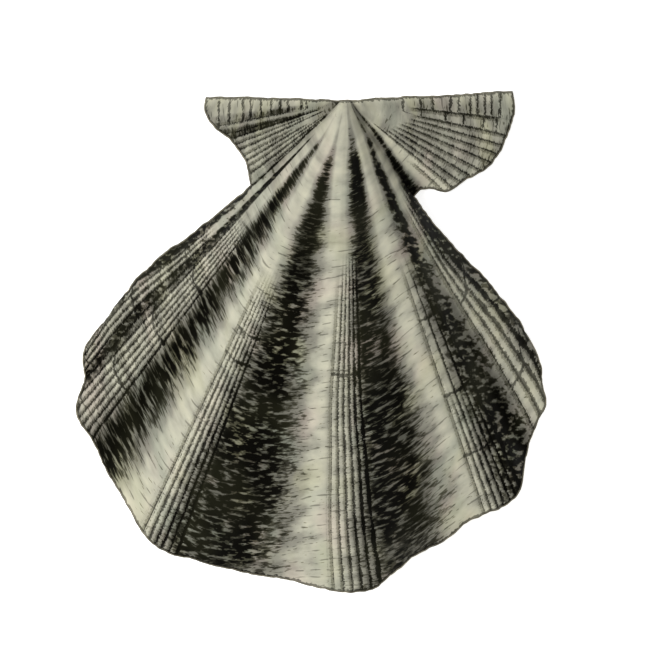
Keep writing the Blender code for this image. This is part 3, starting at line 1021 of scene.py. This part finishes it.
# %% The flecks
NEAR_BEAK, COVER_NEAR_BEAK, CONTRAST, CALMER_NEAR_BEAK = (20.0, 48.0), 0.14, 2.0, 0.85
COVER = {"low": 0.12, "high": 1.12, "to_low": 0.0, "to_high": 0.60}
TICK_COVER = {"low": 0.15, "high": 0.75, "to_low": 0.04, "to_high": 0.34}
FINE_SHARE = {"low": 0.66, "high": 0.96, "to_low": 0.85, "to_high": 0.0}
STROKES = {"Length": 2.7, "Width": 0.9, "Seed": 0.0}
TEETH = {"Length": 2.0, "Width": 0.52, "Seed": 9.0}
BLOTS = {"Length": 1.5, "Width": 1.1, "Seed": 4.0}
TICKS = {"Length": 1.9, "Width": 0.34, "Seed": 5.0, "Contrast": 1.9}


def blend_values(tree, factor, low, high):
    return add_node(tree, "ShaderNodeMix", {0: factor, 2: low, 3: high}).outputs[0]


def darkest(tree, mask, *masks):
    """The darkest of several masks at each place."""
    for other in masks:
        mask = calculate(tree, "MAXIMUM", mask, other)
    return mask


from_beak = add_node(tree, "ShaderNodeSeparateXYZ", {0: place}).outputs[1]
near = map_range(tree, from_beak, *NEAR_BEAK, 1.0, 0.0)
more = calculate(tree, "ADD", 1.0, multiply(tree, near, COVER_NEAR_BEAK))
cover = multiply(tree, map_range(tree, shade_here, **COVER), more)
contrast = calculate(tree, "SUBTRACT", CONTRAST, multiply(tree, near, CALMER_NEAR_BEAK))
strokes, teeth, blots = (
    place_group(tree, flecks, Place=where, Shade=cover, Contrast=contrast, **sizes)
    for where, sizes in ((place, STROKES), (place, TEETH), (spot, BLOTS))
)
ticks = place_group(tree, flecks, Place=place, Shade=map_range(tree, shade_here, **TICK_COVER), **TICKS)
fine_share = darkest(tree, near, map_range(tree, shade_here, **FINE_SHARE))
coarse = read_attribute(tree, "coarseness")


def kind_here(layer):
    """One layer of the flecks: teeth instead of strokes by the fine share, blots by the coarseness."""
    fine = blend_values(tree, fine_share, strokes[layer], teeth[layer])
    return blend_values(tree, coarse, fine, blots[layer])


fleck_ink, fleck_half = (kind_here(layer) for layer in ("Ink", "Half"))
print("strokes, teeth, blots and ticks: four kinds of fleck")

# %% [markdown]
# ## The outer face: its lines
# Grooves, cracks and rests are ruled from the phases on the mesh. Thin growth lines begin a little away
# from the beak and stay off the blots. The very edge is dark, at an uneven distance in.

# %% The lines
GROOVE_LINES, CRACK_LINES = {"Raggedness": 1.0, "Seed": 3.0}, {"Raggedness": 1.1, "Seed": 8.0}
THIN_LINES = {"Spacing": 2.1, "Half_Width": 0.15, "Share": 0.50, "Seed": 1.0}
THIN_LINES_BEGIN = {"low": 14.0, "high": 24.0, "to_low": 0.0, "to_high": 0.5}
UNEVEN_NOISE, UNEVEN_SWING = (0.7, 0.7, 6.0), 1.2
EDGE_INK = {"low": 0.22, "high": 0.42, "to_low": 0.9, "to_high": 0.0}


def ruled(kind, settings):
    """The marks of the ruled line group along the grooves or the cracks."""
    phase, pitch, width = (read_attribute(tree, kind + name) for name in ("_phase", "_pitch", "_width"))
    return place_group(tree, lines, Phase=phase, Pitch=pitch, Half_Width=width, Place=place, **settings)


groove_marks, crack_marks = ruled("groove", GROOVE_LINES), ruled("crack", CRACK_LINES)
thin = place_group(tree, growth_lines, Place=place, **THIN_LINES)["Ink"]
thin_share = map_range(tree, from_beak, **THIN_LINES_BEGIN)
thin = multiply(tree, thin, multiply(tree, thin_share, one_less(tree, coarse)))
uneven = swing(tree, stretched_noise(tree, place, *UNEVEN_NOISE), UNEVEN_SWING)
rough_distance = calculate(tree, "ADD", read_attribute(tree, "edge_distance"), uneven)
edge_ink = map_range(tree, rough_distance, **EDGE_INK)
print("ruled the grooves, the cracks and the growth lines")

# %% [markdown]
# ## The outer face: the ink
# The half-dark borders, with the bands of painted shade on the sides of the riblets that face away from the
# light, tint the wash, and one ink lies over it, which holds the dark flecks of stain and painted shade and
# the lines. On the pale parts the ink is thinner. Here and there it has aged to a dark brown, and it lies a
# little deeper than the stone between.

# %% The ink
HALF_TINT = from_srgb(158, 157, 146)
INK, OLD_INK = from_srgb(5, 4, 0), from_srgb(30, 30, 17)
OLD_NOISE, OLD_LEVEL = (12.0, 16.0, 33.0), (0.42, 0.68)
BAND_HALF, GRAIN_HEIGHT, TICKS_ON_BLOTS = 0.55, 0.6, 0.3
FLECK_STRENGTH = {"low": 0.35, "high": 1.0, "to_low": 0.42, "to_high": 1.0}
LINE_STRENGTH = {"low": 0.1, "high": 0.7, "to_low": 0.74, "to_high": 1.0}


def finish_material(material, colour, height, strength, depth):
    """Links the colour and the relief to the shader, and gives the material to the mesh."""
    tree = material.node_tree
    shader = tree.nodes["Principled BSDF"]
    tree.links.new(colour, shader.inputs["Base Color"])
    bump = add_node(tree, "ShaderNodeBump", {"Height": height, "Strength": strength, "Distance": depth})
    tree.links.new(bump.outputs["Normal"], shader.inputs["Normal"])
    mesh.materials.append(material)
    print("made", material.name, "with", len(tree.nodes), "nodes")


# Painted shade: the fleck borders and the half-dark bands on the riblets' sides away from the light darken
# the wash.
half = darkest(tree, fleck_half, multiply(tree, groove_marks["Half"], BAND_HALF))
colour = blend_colour(tree, half, stone["Colour"], HALF_TINT, "MULTIPLY")
tick_ink = multiply(tree, ticks["Ink"], map_range(tree, coarse, 0.0, 1.0, 1.0, TICKS_ON_BLOTS))
fleck_ink = darkest(tree, fleck_ink, tick_ink)
fleck_ink = multiply(tree, fleck_ink, map_range(tree, shade_here, **FLECK_STRENGTH))
# The comb is dark teeth of painted shade inside those bands.
comb_ink = multiply(tree, groove_marks["Comb"], read_attribute(tree, "toothed"))
line_ink = darkest(tree, groove_marks["Ink"], crack_marks["Ink"], comb_ink, edge_ink)
line_ink = multiply(tree, line_ink, map_range(tree, shade_here, **LINE_STRENGTH))
ink = darkest(tree, fleck_ink, line_ink, thin)
aged = map_range(tree, stretched_noise(tree, place, *OLD_NOISE), *OLD_LEVEL)
colour = blend_colour(tree, ink, colour, blend_colour(tree, aged, INK, OLD_INK))
height = calculate(tree, "SUBTRACT", multiply(tree, stone["Grain"], GRAIN_HEIGHT), ink)
finish_material(outer_material, colour, height, strength=0.35, depth=0.12 * MM)

# %% [markdown]
# ## The broken edge
# All round the rim the shell's thickness shows. It was laid down in thin leaves, so the colour is drawn out
# along the rim in uneven brown and grey layers.

# %% The edge material
EDGE_DARK, EDGE_PALE = from_srgb(74, 71, 56), from_srgb(138, 132, 112)
LEAVES, LEAF_LENGTH, LEAF_DETAIL, LEAF_LEVEL = 5.0, 1.0 / 0.35, 3.0, (0.36, 0.64)

edge_material = new_material("fossil_broken_edge", roughness=0.9, gloss=0.15)
tree = edge_material.node_tree
layer = multiply(tree, read_attribute(tree, "side"), LEAVES)
leaves = stretched_noise(tree, object_place(tree), LEAF_LENGTH, LEAF_LENGTH, layer, LEAF_DETAIL)
leaves = map_range(tree, leaves, *LEAF_LEVEL)
colour = blend_colour(tree, leaves, EDGE_DARK, EDGE_PALE)
finish_material(edge_material, colour, leaves, strength=0.6, depth=0.15 * MM)

# %% [markdown]
# ## The inner face
# The hollow side was the smooth one. The same folds show there, with faint growth lines, and one round scar
# where the muscle that closed the shell was fixed: a smooth pale disc, free of growth lines, with a rim
# that is dark here and gone there. This side is out of the weather, so it is paler and browner.

# %% The inner material
INNER_PALE, INNER_BROWN = from_srgb(178, 170, 148), from_srgb(120, 110, 90)
BROWN_NOISE = (16.0, 9.0, 21.0, 3.0)
BROWN = {"low": 0.42, "high": 0.66, "to_low": 0.0, "to_high": 0.65}
SCAR_PLACE, SCAR_RADIUS, SCAR_RIM, SCAR_CLEARED = (11.0, 3.0, 0.0), 12.0, 2.0, 0.9
SCAR_NOISE, SCAR_WOBBLE = (9.0, 9.0, 30.0), 4.0
RIM_INK = {"low": 0.40, "high": 0.58, "to_low": 0.12, "to_high": 0.55}
FAINT_LINES, FAINTNESS = {"Spacing": 3.0, "Half_Width": 0.2, "Share": 0.6, "Seed": 12.0}, 0.35

inner_material = new_material("fossil_inner_face", roughness=0.6, gloss=0.3)
tree = inner_material.node_tree
place = growth_place(tree)
flat = {0: object_place(tree), 1: (1.0, 1.0, 0.0)}
spot = add_node(tree, "ShaderNodeVectorMath", flat, operation="MULTIPLY").outputs[0]
scar_noise = stretched_noise(tree, spot, *SCAR_NOISE)
between = {0: spot, 1: SCAR_PLACE}
from_scar = add_node(tree, "ShaderNodeVectorMath", between, operation="DISTANCE").outputs["Value"]
from_scar = calculate(tree, "ADD", from_scar, multiply(tree, scar_noise, SCAR_WOBBLE))
scar = map_range(tree, from_scar, SCAR_RADIUS, SCAR_RADIUS + SCAR_RIM, 1.0, 0.0)
outer_part = map_range(tree, from_scar, SCAR_RADIUS - SCAR_RIM, SCAR_RADIUS)
scar_rim = multiply(tree, scar, outer_part, map_range(tree, scar_noise, **RIM_INK))
off_scar = one_less(tree, multiply(tree, scar, SCAR_CLEARED))
brown = multiply(tree, map_range(tree, stretched_noise(tree, place, *BROWN_NOISE), **BROWN), off_scar)
ground = blend_colour(tree, brown, INNER_PALE, INNER_BROWN)
stone = place_group(tree, mottle, Place=place, Colour=ground, Amount=0.3, Seed=9.0)
faint = place_group(tree, growth_lines, Place=place, **FAINT_LINES)["Ink"]
marks = darkest(tree, multiply(tree, faint, FAINTNESS, off_scar), scar_rim)
colour = blend_colour(tree, marks, stone["Colour"], INNER_BROWN)
height = calculate(tree, "SUBTRACT", stone["Grain"], marks)
finish_material(inner_material, colour, height, strength=0.3, depth=0.15 * MM)

# %% [markdown]
# ## Which face takes which finish
# The mean side of a face's corners is 1 on the outer face, 0 on the inner face and something between on the
# rim.

# %% Give each face its material
OUTER, EDGE, INNER = range(3)
LEAST_OUTER, MOST_INNER = 0.99, 0.01
face_materials = np.full(len(mesh.polygons), EDGE, np.int32)
face_materials[face_sides > LEAST_OUTER] = OUTER
face_materials[face_sides < MOST_INNER] = INNER
mesh.polygons.foreach_set("material_index", face_materials)
print("faces of the outer face, the rim and the inner face:", np.bincount(face_materials))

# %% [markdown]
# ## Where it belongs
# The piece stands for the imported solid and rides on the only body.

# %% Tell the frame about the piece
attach(valve, "root")
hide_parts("valve")
print(valve.name, "stands for the packed valve")

# %% [markdown]
# ## Floor and light
# A plain pale floor, one broad soft light from the left, and white light from all round. The floor glows a
# little, so that it stays white where the shell's shadow is thin.

# %% The floor and the light
WHITE, FLOOR_COLOUR = (1.0, 1.0, 1.0, 1.0), (0.92, 0.92, 0.92, 1.0)
FLOOR_SIZE, FLOOR_GLOW = 3.0, 0.7
SUN_ELEVATION, SUN_BEARING = 50.0, 175.0
SUN_ANGLE, SUN_STRENGTH, SKY_STRENGTH = 25.0, 2.2, 0.45

floor_mesh = bpy.data.meshes.new("floor")
sheet = bmesh.new()
bmesh.ops.create_grid(sheet, x_segments=1, y_segments=1, size=FLOOR_SIZE)
sheet.to_mesh(floor_mesh)
sheet.free()
floor = bpy.data.objects.new("floor", floor_mesh)
bpy.context.scene.collection.objects.link(floor)
floor_material = new_material("pale_floor", roughness=0.9, gloss=0.5)
floor_shader = floor_material.node_tree.nodes["Principled BSDF"]
floor_shader.inputs["Base Color"].default_value = FLOOR_COLOUR
floor_shader.inputs["Emission Color"].default_value = WHITE
floor_shader.inputs["Emission Strength"].default_value = FLOOR_GLOW
floor_mesh.materials.append(floor_material)

sun_light = bpy.data.lights.new("window_light", "SUN")
sun_light.energy = SUN_STRENGTH
sun_light.angle = np.radians(SUN_ANGLE)
sun = bpy.data.objects.new("window_light", sun_light)
elevation, bearing = np.radians(SUN_ELEVATION), np.radians(SUN_BEARING)
towards_sun = Vector((
    np.cos(elevation) * np.cos(bearing), np.cos(elevation) * np.sin(bearing), np.sin(elevation),
))
sun.rotation_euler = towards_sun.to_track_quat("Z", "Y").to_euler()
bpy.context.scene.collection.objects.link(sun)

world = bpy.data.worlds.new("soft_white")
world.use_nodes = True
sky = world.node_tree.nodes["Background"].inputs
sky["Color"].default_value, sky["Strength"].default_value = WHITE, SKY_STRENGTH
bpy.context.scene.world = world
bpy.context.scene.view_settings.view_transform = "Standard"
print("the light comes from", SUN_BEARING, "degrees, at", SUN_ELEVATION, "degrees above the floor")

# %% [markdown]
# ## The camera
# The camera looks straight down from high up, through a long lens, so that the height of the ribs hardly
# moves the outline. A lens of this length has to stand as far off as the field's width times the lens over
# the sensor.

# %% The camera
VIEW_X, VIEW_Y = 3.99 * MM, 2.39 * MM
FIELD_WIDTH = 140.43 * MM
FIELD_HEIGHT = 6.0 * MM
LENS, SENSOR = 1000.0, 36.0
NEAREST, FARTHEST = 0.1, 20.0

lens_camera = bpy.data.cameras.new("camera")
lens_camera.lens = LENS
lens_camera.sensor_width = SENSOR
camera = bpy.data.objects.new("camera", lens_camera)
distance_up = FIELD_WIDTH * LENS / SENSOR
camera.location = (VIEW_X, VIEW_Y, FIELD_HEIGHT + distance_up)
lens_camera.clip_start, lens_camera.clip_end = NEAREST, FARTHEST
bpy.context.scene.collection.objects.link(camera)
bpy.context.scene.camera = camera
print("the camera is", round(distance_up, 2), "m up")
